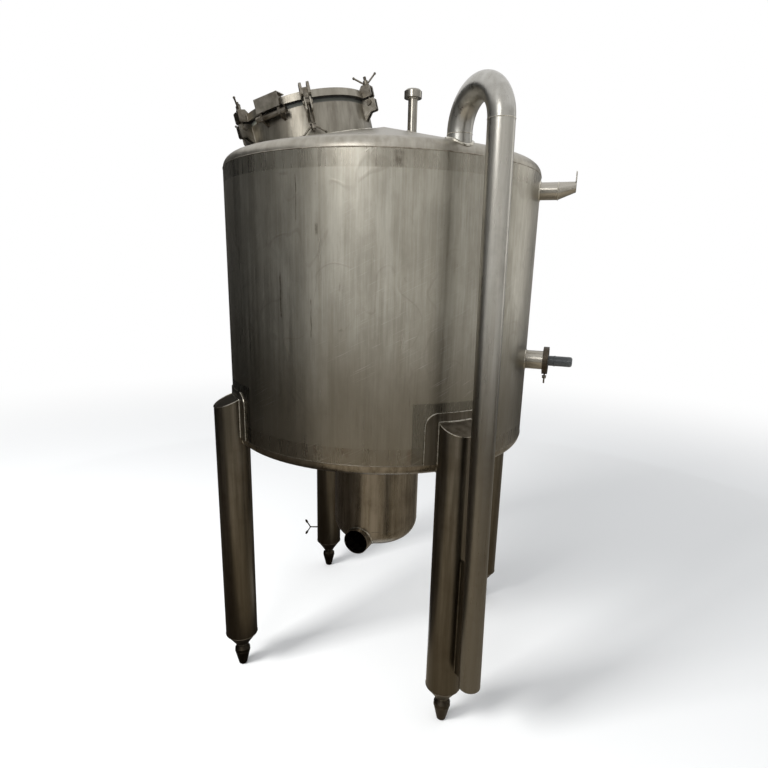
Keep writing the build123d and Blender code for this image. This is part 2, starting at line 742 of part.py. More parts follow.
# Hinge: two lugs and a pin on the neck, and a folded cover plate on the lid.
lug_face = hinge_half_width - hinge_lug_inset
pin_half_length = hinge_half_width + hinge_pin_overhang
with BuildPart() as hinge_bracket:
    for side in (-1, 1):
        with BuildSketch(clamp_section(hinge_angle, side * lug_face, 0, 0)):
            with BuildLine():
                Polyline((neck_root, hinge_lug_toe), (neck_radius, hinge_lug_toe),
                         (hinge_pin_reach + hinge_pin_radius, hinge_pin_height - hinge_pin_radius),
                         (hinge_pin_reach + hinge_pin_radius, cheek_top), (neck_root, cheek_top), close=True)
            make_face()
        extrude(amount=side * hinge_lug_thickness)
    with BuildSketch(clamp_section(hinge_angle, -pin_half_length, hinge_pin_reach, hinge_pin_height)):
        Circle(hinge_pin_radius)
    extrude(amount=2 * pin_half_length)
    add(neck_outside.part, mode=Mode.SUBTRACT)
hinge_bracket.part.label = "hinge_bracket"
export_step(hinge_bracket.part, "parts/hinge_bracket.step")

cover_back = lid_radius - hinge_cover_inset
cover_reach = lid_radius + hinge_depth
cover_top = lid_top + hinge_cover_top
cover_low = cover_top - hinge_cover_drop
rib_low = lid_bottom + (lid_band_height - hinge_pin_radius) / 2
with BuildPart() as hinge_cover:
    with BuildSketch(clamp_section(hinge_angle, -hinge_half_width, 0, 0)):
        with BuildLine():
            Polyline((cover_back, cover_top), (cover_reach, cover_top), (cover_reach, cover_low),
                     (cover_reach - hinge_plate, cover_low),
                     (cover_reach - hinge_plate, cover_top - hinge_plate),
                     (cover_back, cover_top - hinge_plate), close=True)
        make_face()
    extrude(amount=2 * hinge_half_width)
    with BuildSketch(clamp_section(hinge_angle, hinge_rib_inset - hinge_half_width, 0, 0)):
        with BuildLine():
            Polyline((cover_back, lid_top), (cover_back, cover_top - hinge_plate),
                     (cover_reach - hinge_plate, cover_top - hinge_plate),
                     (cover_reach - hinge_plate, rib_low), (lid_root, rib_low), close=True)
        make_face()
    extrude(amount=2 * (hinge_half_width - hinge_rib_inset))
    add(lid_outside.part, mode=Mode.SUBTRACT)
hinge_cover.part.label = "hinge_cover"
export_step(hinge_cover.part, "parts/hinge_cover.step")

# Side nozzles.
# Upper: straight stub, then a reducer whose upper side stays level, with an upright tab.
small_offset = upper_radius - upper_small_radius
with BuildPart() as upper_nozzle:
    with BuildSketch(facing(upper_azimuth, shell_radius - 30, upper_z)):
        Circle(upper_radius)
        Circle(upper_bore, mode=Mode.SUBTRACT)
    extrude(amount=upper_weld_reach - shell_radius + 30)
    add(outside.part, mode=Mode.SUBTRACT)
upper_nozzle.part.label = "upper_nozzle"
export_step(upper_nozzle.part, "parts/upper_nozzle.step")

with BuildPart() as upper_reducer:
    with BuildSketch(facing(upper_azimuth, upper_weld_reach, upper_z)):
        Circle(upper_radius)
    with BuildSketch(facing(upper_azimuth, upper_reach, upper_z + small_offset)):
        Circle(upper_small_radius)
    loft()
    with BuildSketch(facing(upper_azimuth, upper_weld_reach, upper_z)):
        Circle(upper_bore)
    with BuildSketch(facing(upper_azimuth, upper_reach, upper_z + small_offset)):
        Circle(upper_small_radius - upper_wall)
    loft(mode=Mode.SUBTRACT)
    with BuildSketch(facing(upper_azimuth, upper_reach - upper_tab_thickness, upper_z + upper_radius - 1.5)):
        with Locations((0, upper_tab_height / 2)):
            Rectangle(upper_tab_width, upper_tab_height)
    extrude(amount=upper_tab_thickness)
upper_reducer.part.label = "upper_reducer"
export_step(upper_reducer.part, "parts/upper_reducer.step")

# Lower: stub and ferrule, clamp ring with its screw, level probe.
with BuildPart() as lower_nozzle:
    with BuildSketch(facing(lower_azimuth, shell_radius - 30, lower_z)):
        Circle(lower_radius)
        Circle(lower_bore, mode=Mode.SUBTRACT)
    extrude(amount=lower_reach - shell_radius + 30)
    with BuildSketch(facing(lower_azimuth, lower_reach - ferrule_thickness, lower_z)):
        Circle(ferrule_radius)
        Circle(lower_bore, mode=Mode.SUBTRACT)
    extrude(amount=ferrule_thickness)
    add(outside.part, mode=Mode.SUBTRACT)
lower_nozzle.part.label = "lower_nozzle"
export_step(lower_nozzle.part, "parts/lower_nozzle.step")

with BuildPart() as level_probe:
    with BuildSketch(facing(lower_azimuth, lower_reach, lower_z)):
        Circle(ferrule_radius)
    extrude(amount=ferrule_thickness)
    with BuildSketch(facing(lower_azimuth, lower_reach, lower_z)):
        Circle(probe_radius)
    extrude(amount=probe_length)
    fillet(level_probe.edges().group_by(Axis.X)[-1], probe_round)
level_probe.part.label = "level_probe"
export_step(level_probe.part, "parts/level_probe.step")

with BuildPart() as probe_clamp:
    with BuildSketch(facing(lower_azimuth, lower_reach - clamp_ring_width / 2, lower_z)):
        Circle(clamp_ring_radius)
        Circle(lower_radius + 2, mode=Mode.SUBTRACT)
    extrude(amount=clamp_ring_width / 2)
    with BuildSketch(facing(lower_azimuth, lower_reach, lower_z)):
        Circle(clamp_ring_radius)
        Circle(probe_radius + 8, mode=Mode.SUBTRACT)
    extrude(amount=clamp_ring_width / 2)
    with BuildSketch(facing(lower_azimuth, lower_reach - ferrule_thickness, lower_z)):
        Circle(ferrule_radius)
    extrude(amount=2 * ferrule_thickness, mode=Mode.SUBTRACT)
    with BuildSketch(Plane(origin=station(lower_azimuth, lower_reach, lower_z - clamp_ring_radius + 4),
                           x_dir=(1, 0, 0), z_dir=(0, 0, -1))):
        Circle(clamp_screw_radius)
    extrude(amount=clamp_screw_length)
probe_clamp.part.label = "probe_clamp"
export_step(probe_clamp.part, "parts/probe_clamp.step")
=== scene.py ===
"""Looks of the balance tank: finishes, weld beads, small fittings, floor, lamps and camera.

Metres, in the frame of the part: +Z up, feet on Z = 0. Azimuths are read in plan
from the -Y side towards +X, and reaches from the tank's own upright axis.
"""
import math

import bpy
from mathutils import Matrix, Vector
from mathutils.bvhtree import BVHTree


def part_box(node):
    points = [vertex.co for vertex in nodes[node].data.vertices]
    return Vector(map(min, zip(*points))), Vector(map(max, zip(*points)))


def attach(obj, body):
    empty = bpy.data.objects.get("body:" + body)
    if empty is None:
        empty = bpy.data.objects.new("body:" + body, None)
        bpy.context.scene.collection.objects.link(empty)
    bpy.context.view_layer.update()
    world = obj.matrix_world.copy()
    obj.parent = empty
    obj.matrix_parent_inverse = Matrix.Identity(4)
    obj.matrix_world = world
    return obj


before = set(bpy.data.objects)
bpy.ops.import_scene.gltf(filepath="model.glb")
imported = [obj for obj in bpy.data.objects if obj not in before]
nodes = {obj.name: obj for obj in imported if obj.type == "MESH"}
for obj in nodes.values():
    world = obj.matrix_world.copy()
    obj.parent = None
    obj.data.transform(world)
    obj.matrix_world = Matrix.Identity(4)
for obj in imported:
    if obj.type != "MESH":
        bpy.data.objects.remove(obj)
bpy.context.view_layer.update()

# Sizes read from the frame.
shell_low, shell_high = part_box("shell")
axis_x = (shell_low.x + shell_high.x) / 2
axis_y = (shell_low.y + shell_high.y) / 2
shell_radius = (shell_high.y - shell_low.y) / 2
lower_seam_z = shell_low.z
upper_seam_z = shell_high.z
vent_top_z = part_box("vent_cap")[0].z

# Sizes repeated from the part.
cone_slope = math.radians(14.75)
leg_azimuths = (45.0, 135.0, 225.0, 315.0)
leg_circle = 0.618
leg_radius = 0.0645
leg_end_z = 0.155
leg_cone_z = 0.101
leg_cone_radius = 0.027
cap_outer_z = 1.140
cap_slope = math.radians(23.0)
pad_half_width = 0.1095
pad_top_z = 1.204
pad_corner = 0.045
pad_radius = 0.604
sump_radius = 0.184
sump_side_z = 0.580
outlet_azimuth = -4.0
outlet_z = 0.538
outlet_radius = 0.054
outlet_reach = 0.207
overflow_radius = 0.03805
overflow_azimuth = 44.0
overflow_lean = math.radians(0.9)
overflow_bend_radius = 0.104
overflow_reach = 0.760
overflow_rise = 0.058
overflow_length = 1.804
stay_top_z = 0.700
stay_thickness = 0.005
vent_azimuth = 70.0
vent_reach = 0.135
vent_radius = 0.017
manway_azimuth = -80.0
manway_reach = 0.282
neck_radius = 0.246
neck_height = 0.078
lid_radius = 0.258
lid_bottom = 0.094
lid_top = 0.118
clamp_angles = [17.5 + 60.0 * i for i in range(6)]
nut_turns = (0.0, 114.0, 60.0, 20.0, 150.0, -36.0)
hinge_angle = -11.0
hinge_pin_reach = 0.271
hinge_pin_height = 0.070
pin_reach = 0.273
pin_height = 0.076
fork_top = 0.136
rod_radius = 0.005
rod_length = 0.090
nut_radius = 0.009
nut_height = 0.016
nut_arm_radius = 0.0032
nut_arm_base = 0.005
nut_arm_reach = 0.040
nut_arm_rise = 0.028
nut_screwed_out = 0.008
upper_z = 1.942
upper_radius = 0.03015
upper_weld_reach = 0.664
lower_z = 1.334
lower_radius = 0.035
lower_reach = 0.676
nozzle_azimuth = 90.0
foot_shoulder_z = 0.064
foot_neck_z = 0.091
foot_neck_radius = 0.017
knuckle = 0.040

UP = Vector((0, 0, 1))
ACROSS = Vector((1, 0, 0))
BACK = Vector((0, 1, 0))


# Places.
def outward(azimuth):
    a = math.radians(azimuth)
    return Vector((math.sin(a), -math.cos(a), 0))


def sideways(azimuth):
    a = math.radians(azimuth)
    return Vector((math.cos(a), math.sin(a), 0))


def station(azimuth, reach, z):
    return Vector((axis_x, axis_y, z)) + outward(azimuth) * reach


cone_start = shell_radius - knuckle + knuckle * math.sin(cone_slope)
top_apex_z = upper_seam_z + knuckle * math.cos(cone_slope) + cone_start * math.tan(cone_slope)
manway_normal = outward(manway_azimuth) * math.sin(cone_slope) + UP * math.cos(cone_slope)
manway_foot = station(manway_azimuth, manway_reach, top_apex_z - manway_reach * math.tan(cone_slope))
manway_x = sideways(manway_azimuth)
manway_y = manway_normal.cross(manway_x)

overflow_out = outward(overflow_azimuth)
overflow_side = sideways(overflow_azimuth) * math.cos(overflow_lean) + UP * math.sin(overflow_lean)
overflow_up = UP * math.cos(overflow_lean) - sideways(overflow_azimuth) * math.sin(overflow_lean)
bend_centre = station(overflow_azimuth, overflow_reach - overflow_bend_radius,
                      upper_seam_z + overflow_rise)


def overflow_at(x, y):
    """Point in the overflow's own plane: x outward from the bend's centre, y up along the pipe."""
    return bend_centre + overflow_out * x + overflow_up * y


def from_neck(angle):
    """Direction square to the neck's axis, at an angle round it."""
    a = math.radians(angle)
    return manway_x * math.cos(a) + manway_y * math.sin(a)


def around_neck(angle, reach, height):
    return manway_foot + from_neck(angle) * reach + manway_normal * height


def clamp_frame(angle):
    """Matrix at a clamp's pin: x along the pin, y away from the neck, z along the neck."""
    away = from_neck(angle)
    side = away.cross(manway_normal)
    matrix = Matrix((side, away, manway_normal)).transposed().to_4x4()
    matrix.translation = around_neck(angle, pin_reach, pin_height)
    return matrix


# Materials.
class Graph:
    """One material's node tree, with short names for the nodes used here."""

    def __init__(self, name):
        self.material = bpy.data.materials.new(name)
        self.material.use_nodes = True
        self.tree = self.material.node_tree
        self.tree.nodes.clear()
        self.shader = self.tree.nodes.new("ShaderNodeBsdfPrincipled")
        output = self.tree.nodes.new("ShaderNodeOutputMaterial")
        self.tree.links.new(self.shader.outputs[0], output.inputs["Surface"])
        self.place = self.tree.nodes.new("ShaderNodeTexCoord").outputs["Object"]

    def node(self, kind, inputs, output=0, **settings):
        made = self.tree.nodes.new(kind)
        for key, value in settings.items():
            setattr(made, key, value)
        for key, value in inputs.items():
            if isinstance(value, bpy.types.NodeSocket):
                self.tree.links.new(value, made.inputs[key])
            else:
                made.inputs[key].default_value = value
        return made.outputs[output]

    def math(self, operation, a, b=0.0):
        return self.node("ShaderNodeMath", {0: a, 1: b}, operation=operation)

    def times(self, a, b):
        return self.math("MULTIPLY", a, b)

    def plus(self, a, b):
        return self.math("ADD", a, b)

    def both(self, a, b):
        return self.math("MAXIMUM", a, b)

    def stretch(self, scale, place=None, turn=(0, 0, 0)):
        source = place or self.place
        return self.node("ShaderNodeMapping", {"Vector": source, "Scale": scale, "Rotation": turn})

    def noise(self, place, scale, detail=3.0, roughness=0.55, warp=0.0):
        return self.node("ShaderNodeTexNoise", {"Vector": place, "Scale": scale, "Detail": detail,
                                                "Roughness": roughness, "Distortion": warp})

    def step(self, value, low, high):
        """0 below low, 1 above high, smooth between them; low may be the larger."""
        return self.node("ShaderNodeMapRange", {"Value": value, "From Min": low, "From Max": high},
                         interpolation_type="SMOOTHSTEP")

    def fade(self, value, low, high, bottom, top):
        return self.node("ShaderNodeMapRange", {"Value": value, "From Min": low, "From Max": high,
                                                "To Min": bottom, "To Max": top})

    def strip(self, value, low, high, soft):
        """1 between low and high, with soft edges."""
        above_low = self.step(value, low - soft, low + soft)
        return self.times(above_low, self.step(value, high + soft, high - soft))

    def mix(self, factor, a, b):
        made = self.tree.nodes.new("ShaderNodeMix")
        made.data_type = "RGBA"
        for socket, value in ((made.inputs[0], factor), (made.inputs[6], a), (made.inputs[7], b)):
            if isinstance(value, bpy.types.NodeSocket):
                self.tree.links.new(value, socket)
            elif socket.name == "Factor":
                socket.default_value = value
            else:
                socket.default_value = (*value, 1.0)
        return made.outputs[2]

    def split(self):
        made = self.tree.nodes.new("ShaderNodeSeparateXYZ")
        self.tree.links.new(self.place, made.inputs[0])
        return made.outputs

    def join(self, x, y, z):
        return self.node("ShaderNodeCombineXYZ", {0: x, 1: y, 2: z})

    def bump(self, height, distance, strength=1.0):
        inputs = {"Height": height, "Distance": distance, "Strength": strength}
        return self.node("ShaderNodeBump", inputs)

    def give(self, **inputs):
        names = {"base": "Base Color", "rough": "Roughness", "metal": "Metallic", "normal": "Normal"}
        for key, value in inputs.items():
            socket = self.shader.inputs[names[key]]
            if isinstance(value, bpy.types.NodeSocket):
                self.tree.links.new(value, socket)
            elif key == "base":
                socket.default_value = (*value, 1.0)
            else:
                socket.default_value = value
        return self.material


STEEL_LIGHT = (0.435, 0.415, 0.360)
STEEL_DULL = (0.350, 0.328, 0.276)
GRIME = (0.060, 0.044, 0.028)
# Colour of the painted shade on low parts, standing in for the dark floor reflected in the steel.
PAINTED_LOW_SHADE = (0.078, 0.063, 0.041)

# Where the soft edge of the band beside each ring weld begins and ends, from the weld.
UPPER_BAND = (0.0550, 0.0510)
LOWER_BAND = (0.0610, 0.0565)

# Ground patch round a leg pad: half angles of its soft edge, and its heights above the pad.
PATCH_SPREAD = (14.9, 14.4)
PATCH_RISE = (0.040, 0.034)

# Old runs and rubs at the front: azimuth, half width, low and high end.
OLD_MARKS = ((-6.2, 0.0018, 1.795, 1.925), (0.4, 0.0040, 1.755, 1.785), (-10.5, 0.0160, 1.928, 1.932),
             (24.0, 0.0120, 1.945, 1.990), (7.6, 0.0022, 1.590, 1.612), (-1.5, 0.0015, 1.440, 1.560),
             (60.8, 0.0020, 1.700, 1.860), (-12.5, 0.0025, 1.500, 1.640))


def tank_steel():
    """Dull rolled sheet: mottled, with bands at the seams, soft contours and fine scratches."""
    g = Graph("tank_sheet")
    x, y, z = g.split()
    around = g.math("ARCTAN2", g.math("SUBTRACT", x, axis_x), g.math("SUBTRACT", axis_y, y))
    unrolled = g.join(g.times(around, shell_radius), z, 0.0)

    streaks = g.noise(g.stretch((1, 1, 0.022)), 60.0, 4.0, 0.6)
    broad = g.noise(g.stretch((1, 1, 0.10)), 9.0, 3.0, 0.5)
    cloud = g.noise(g.place, 3.2, 3.0, 0.5)
    mottle = g.noise(g.stretch((1, 1, 0.40)), 17.0, 5.0, 0.62)
    grain = g.noise(g.stretch((1, 1, 0.02)), 420.0, 2.0, 0.6)
    spots = g.noise(g.place, 46.0, 4.0, 0.65)
    fine = g.noise(g.stretch((1, 1, 0.045)), 150.0, 3.0, 0.6)

    upper_band = g.step(z, upper_seam_z - UPPER_BAND[0], upper_seam_z - UPPER_BAND[1])
    lower_band = g.step(z, lower_seam_z + LOWER_BAND[0], lower_seam_z + LOWER_BAND[1])
    stains = g.step(g.noise(g.stretch((1, 1, 0.5)), 24.0, 4.0, 0.65), 0.50, 0.68)
    # Painted shade: the sheet turns darker and browner towards the bottom, standing in for the dark floor
    # reflected in the steel.
    low_painted_shade = g.step(g.plus(z, g.times(broad, 0.30)), 1.73, 1.33)
    open_wall = g.math("SUBTRACT", 1.0, g.both(upper_band, lower_band))
    drips = g.step(g.noise(g.stretch((1, 1, 0.05)), 95.0, 2.0, 0.5), 0.68, 0.80)
    drips = g.times(g.times(drips, g.step(g.noise(g.place, 5.0, 2.0, 0.5), 0.54, 0.68)), open_wall)

    # Ground patches round the leg pads: darker sheet beside and above each pad.
    patch = 0.0
    for azimuth in leg_azimuths:
        centre = math.radians(azimuth if azimuth < 180 else azimuth - 360)
        beside = g.math("ABSOLUTE", g.math("SUBTRACT", around, centre))
        patch = g.both(patch, g.step(beside, *(math.radians(spread) for spread in PATCH_SPREAD)))
    uneven = g.plus(z, g.times(mottle, 0.006))
    patch = g.times(patch, g.step(uneven, *(pad_top_z + rise for rise in PATCH_RISE)))

    marks = 0.0
    drift = g.times(g.math("SUBTRACT", g.noise(g.place, 22.0, 2.0, 0.5), 0.5), 0.012)
    for azimuth, half_width, low, high in OLD_MARKS:
        across = g.math("SUBTRACT", g.plus(around, drift), math.radians(azimuth))
        line = g.step(g.math("ABSOLUTE", across), 1.6 * half_width / shell_radius,
                      0.5 * half_width / shell_radius)
        marks = g.both(marks, g.times(line, g.strip(z, low, high, 0.006)))

    wander = g.noise(g.stretch((1.0, 0.8, 1.0), unrolled), 6.5, 1.0, 0.4, 0.6)
    contour = g.math("ABSOLUTE", g.math("SUBTRACT", wander, 0.5))
    loops = g.times(g.step(contour, 0.020, 0.006), g.step(g.noise(g.place, 7.0, 2.0, 0.5), 0.45, 0.60))
    turned = g.stretch((1, 1, 1), unrolled, (0, 0, math.radians(-27)))
    scratches = g.step(g.noise(g.stretch((7.0, 240.0, 1.0), turned), 1.0, 3.0, 0.7, 0.5), 0.58, 0.70)
    sideways_zone = g.step(g.math("ABSOLUTE", g.math("SUBTRACT", around, 0.46)), 0.62, 0.25)
    height_zone = g.step(g.math("ABSOLUTE", g.math("SUBTRACT", z, 1.50)), 0.34, 0.12)
    zone = g.plus(g.times(g.times(sideways_zone, height_zone), 0.13), g.noise(g.place, 4.2, 1.0, 0.5))
    scratches = g.times(scratches, g.step(zone, 0.50, 0.64))

    base = g.mix(g.step(streaks, 0.28, 0.74), STEEL_DULL, STEEL_LIGHT)
    base = g.mix(g.times(g.step(mottle, 0.46, 0.64), 0.32), base, (0.25, 0.235, 0.195))
    base = g.mix(g.times(g.step(mottle, 0.50, 0.34), 0.25), base, (0.56, 0.545, 0.48))
    base = g.mix(g.times(g.step(fine, 0.52, 0.68), 0.20), base, (0.235, 0.222, 0.185))
    base = g.mix(g.times(g.step(fine, 0.46, 0.30), 0.18), base, (0.60, 0.585, 0.52))
    base = g.mix(g.times(g.step(cloud, 0.45, 0.75), 0.30), base, (0.31, 0.285, 0.23))
    # Painted shade low on the sheet.
    base = g.mix(g.times(low_painted_shade, 0.76), base, (0.158, 0.134, 0.096))
    base = g.mix(g.times(upper_band, g.fade(stains, 0.0, 1.0, 0.25, 0.50)), base, (0.22, 0.198, 0.158))
    base = g.mix(g.times(lower_band, g.fade(stains, 0.0, 1.0, 0.15, 0.55)), base, (0.135, 0.098, 0.064))
    base = g.mix(g.times(patch, 0.55), base, (0.090, 0.083, 0.064))
    base = g.mix(g.times(loops, 0.20), base, (0.20, 0.175, 0.14))
    base = g.mix(g.times(scratches, 0.30), base, (0.60, 0.58, 0.53))
    base = g.mix(g.times(drips, 0.40), base, GRIME)
    base = g.mix(g.times(marks, g.fade(spots, 0.40, 0.60, 0.25, 0.60)), base, GRIME)
    base = g.mix(g.times(g.step(spots, 0.66, 0.80), 0.30), base, GRIME)

    rough = g.fade(g.plus(g.times(streaks, 0.5), g.times(fine, 0.5)), 0.35, 0.65, 0.27, 0.45)
    rough = g.math("SUBTRACT", rough, g.times(g.both(upper_band, lower_band), 0.06))
    rough = g.math("SUBTRACT", rough, g.times(patch, 0.08))
    relief = g.plus(g.times(grain, 0.3), g.plus(g.times(cloud, 4.0), g.times(mottle, 1.2)))
    relief = g.plus(relief, g.plus(g.times(scratches, -0.5), g.times(loops, 0.6)))
    return g.give(base=base, rough=rough, metal=1.0, normal=g.bump(relief, 0.0006, 0.40))


def plain_steel(name, light, dull, rough=(0.30, 0.45), stretch=(1, 1, 0.05), grime=0.35,
                low=0.0, painted_shade_span=(1.85, 0.55)):
    """Dull steel with a grain along one direction, grime in patches, and painted shade that darkens and
    browns the low part.
    """
    g = Graph(name)
    streaks = g.noise(g.stretch(stretch), 48.0, 4.0, 0.6)
    cloud = g.noise(g.place, 8.0, 4.0, 0.6)
    grain = g.noise(g.stretch(stretch), 300.0, 2.0, 0.6)
    spots = g.noise(g.place, 70.0, 4.0, 0.7)
    base = g.mix(g.step(streaks, 0.30, 0.72), dull, light)
    # Painted shade: darker and browner towards the bottom; low sets how strong it is.
    low_painted_shade = g.step(g.plus(g.split()[2], g.times(streaks, 0.2)), *painted_shade_span)
    base = g.mix(g.times(low_painted_shade, low), base, PAINTED_LOW_SHADE)
    base = g.mix(g.times(g.step(cloud, 0.46, 0.72), grime), base, GRIME)
    base = g.mix(g.times(g.step(spots, 0.64, 0.80), grime), base, GRIME)
    level = g.fade(g.plus(g.times(streaks, 0.5), g.times(grain, 0.5)), 0.35, 0.65, *rough)
    relief = g.plus(g.times(grain, 0.5), g.times(spots, 0.6))
    return g.give(base=base, rough=level, metal=1.0, normal=g.bump(relief, 0.0004, 0.35))


def gasket_rubber():
    """Black strip under the lid, painted shadow of the lid's band, with a dusty green-grey band below it.
    """
    g = Graph("gasket_rubber")
    away = g.node("ShaderNodeVectorMath", {0: g.place, 1: tuple(manway_foot)}, operation="SUBTRACT")
    height = g.node("ShaderNodeVectorMath", {0: away, 1: tuple(manway_normal)}, output=1,
                    operation="DOT_PRODUCT")
    cloud = g.noise(g.place, 35.0, 4.0, 0.65)
    speck = g.noise(g.place, 420.0, 3.0, 0.6)
    height = g.plus(height, g.times(cloud, 0.002))
    # Painted shadow of the lid's band: black just under it, dusty green-grey rubber below.
    base = g.mix(g.step(height, lid_bottom - 0.0045, lid_bottom - 0.0025), (0.060, 0.064, 0.052),
                 (0.010, 0.010, 0.010))
    base = g.mix(g.step(height, neck_height + 0.0065, neck_height + 0.0015), base,
                 (0.125, 0.120, 0.100))
    level = g.fade(cloud, 0.3, 0.7, 0.45, 0.70)
    return g.give(base=base, rough=level, metal=0.0, normal=g.bump(speck, 0.0003, 0.4))


def dull_plastic(name, tone, dust):
    g = Graph(name)
    cloud = g.noise(g.place, 35.0, 4.0, 0.65)
    speck = g.noise(g.place, 420.0, 3.0, 0.6)
    base = g.mix(g.times(g.step(cloud, 0.45, 0.75), 0.5), tone, dust)
    level = g.fade(cloud, 0.3, 0.7, 0.22, 0.45)
    return g.give(base=base, rough=level, metal=0.0, normal=g.bump(speck, 0.0003, 0.3))


EVEN = (1, 1, 1)
LENGTHWISE = (0.05, 1, 1)
materials = {
    "tank": tank_steel(),
    "head": plain_steel("head_sheet", (0.43, 0.405, 0.355), (0.335, 0.31, 0.262), grime=0.22),
    "neck": plain_steel("neck_sheet", (0.31, 0.29, 0.245), (0.20, 0.182, 0.15), grime=0.3),
    "lid": plain_steel("lid_sheet", (0.36, 0.335, 0.285), (0.26, 0.24, 0.20), grime=0.3),
    # Sump sheet: darker and browner than the shell, painted shade for the dark floor it reflects.
    "sump": plain_steel("sump_sheet", (0.27, 0.236, 0.19), (0.150, 0.128, 0.094), rough=(0.24, 0.36),
                        grime=0.4),
    # Leg tubes: dark brown tone, partly dirt and partly painted shade for the dark floor they reflect; low
    # adds more painted shade towards their bottom.
    "leg": plain_steel("leg_tube", (0.165, 0.145, 0.114), (0.092, 0.079, 0.059), rough=(0.28, 0.40),
                       low=0.70, painted_shade_span=(1.10, 0.25)),
    "foot": plain_steel("foot_steel", (0.060, 0.050, 0.037), (0.034, 0.027, 0.019), rough=(0.36, 0.50)),
    # Polished tube: low adds painted shade towards its bottom.
    "pipe": plain_steel("polished_tube", (0.53, 0.515, 0.475), (0.43, 0.412, 0.370), rough=(0.26, 0.36),
                        grime=0.2, low=0.80, painted_shade_span=(1.80, 1.20)),
    "bend": plain_steel("bend_tube", (0.50, 0.49, 0.46), (0.40, 0.388, 0.355), rough=(0.26, 0.36),
                        grime=0.2),
    "nozzle": plain_steel("nozzle_tube", (0.46, 0.435, 0.385), (0.31, 0.288, 0.245), rough=(0.15, 0.27),
                          stretch=LENGTHWISE, grime=0.2),
    "vent": plain_steel("vent_steel", (0.42, 0.405, 0.37), (0.29, 0.27, 0.23), rough=(0.16, 0.28)),
    "clamp": plain_steel("clamp_steel", (0.27, 0.247, 0.21), (0.135, 0.118, 0.092), stretch=EVEN,
                         grime=0.6),
    "ring": plain_steel("ring_steel", (0.105, 0.088, 0.068), (0.055, 0.045, 0.033), stretch=EVEN),
    "lug": plain_steel("lug_steel", (0.38, 0.355, 0.305), (0.24, 0.22, 0.18), stretch=EVEN, grime=0.45),
    "thread": plain_steel("thread_steel", (0.20, 0.18, 0.15), (0.10, 0.088, 0.070), stretch=EVEN),
    # Weld beads: low adds painted shade towards the bottom, as on the shell.
    "weld": plain_steel("weld_metal", (0.72, 0.69, 0.61), (0.46, 0.43, 0.36), rough=(0.22, 0.34),
                        stretch=EVEN, grime=0.3, low=0.32, painted_shade_span=(1.80, 1.20)),
    # Seam welds: low adds painted shade towards the bottom, as on the shell.
    "seam": plain_steel("seam_weld_metal", (0.42, 0.39, 0.33), (0.25, 0.22, 0.18), stretch=EVEN, grime=0.3,
                        low=0.6, painted_shade_span=(1.80, 1.20)),
    "clamp_weld": plain_steel("clamp_weld_metal", (0.27, 0.25, 0.21), (0.15, 0.13, 0.105), stretch=EVEN),
    "leg_weld": plain_steel("leg_weld_metal", (0.22, 0.192, 0.15), (0.12, 0.10, 0.075), stretch=EVEN),
    "gasket": gasket_rubber(),
    "probe": dull_plastic("probe_body", (0.045, 0.050, 0.052), (0.13, 0.13, 0.125)),
}

finish_of = {"shell": "tank", "top_head": "head", "bottom_head": "sump", "sump_shell": "sump",
             "sump_bottom": "sump", "sump_outlet": "sump", "overflow_bend": "bend",
             "overflow_pipe": "pipe", "upper_nozzle": "nozzle", "upper_reducer": "nozzle",
             "lower_nozzle": "nozzle", "manway_gasket": "gasket", "level_probe": "probe",
             "neck_lugs": "lug", "hinge_cover": "lug", "probe_clamp": "ring", "manway_neck": "neck",
             "manway_lid": "lid", "vent_stub": "vent", "vent_cap": "vent"}


def finish(piece, key):
    piece.data.materials.clear()
    piece.data.materials.append(materials[key])


for name, piece in nodes.items():
    key = finish_of.get(name)
    if key is None:
        key = "leg" if name.startswith(("leg", "pipe_stay")) else "clamp"
    if name.startswith("foot"):
        key = "foot"
    finish(piece, key)
    piece.data.shade_smooth()


# Edges of the solids: flat faces stay flat, and cut plate gets a small round.
soft_edges = {"neck_lugs": 0.0008, "lid_forks": 0.0010, "hinge_bracket": 0.0010, "hinge_cover": 0.0012,
              "manway_lid": 0.0030, "manway_neck": 0.0008, "vent_cap": 0.0015, "pipe_stay": 0.0010,
              "upper_reducer": 0.0006, "probe_clamp": 0.0018, "level_probe": 0.0010, "leg_screw": 0.0008}


def round_edges(piece, width):
    rounding = piece.modifiers.new("rounding", "BEVEL")
    rounding.width = width
    rounding.segments = 2
    rounding.limit_method = "ANGLE"
    rounding.angle_limit = math.radians(50)
    rounding.harden_normals = True


for name, piece in nodes.items():
    piece.data.set_sharp_from_angle(angle=math.radians(32))
    width = 0.0008 if name.startswith(("swing_bolt", "foot", "leg_pad")) else soft_edges.get(name)
    if width:
        round_edges(piece, width)


def add_mesh(name, corners, faces):
    mesh = bpy.data.meshes.new(name)
    mesh.from_pydata([tuple(corner) for corner in corners], [], faces)
    piece = bpy.data.objects.new(name, mesh)
    bpy.context.scene.collection.objects.link(piece)
    return piece


def add_piece(name, corners, faces, key, body="tank"):
    piece = add_mesh(name, corners, faces)
    piece.data.shade_smooth()
    piece.data.set_sharp_from_angle(angle=math.radians(40))
    finish(piece, key)
    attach(piece, body)
    return piece


def joined(shapes):
    """Several (corners, faces) shapes as one."""
    corners, faces = [], []
    for more_corners, more_faces in shapes:
        first = len(corners)
        corners += more_corners
        faces += [tuple(first + i for i in face) for face in more_faces]
    return corners, faces


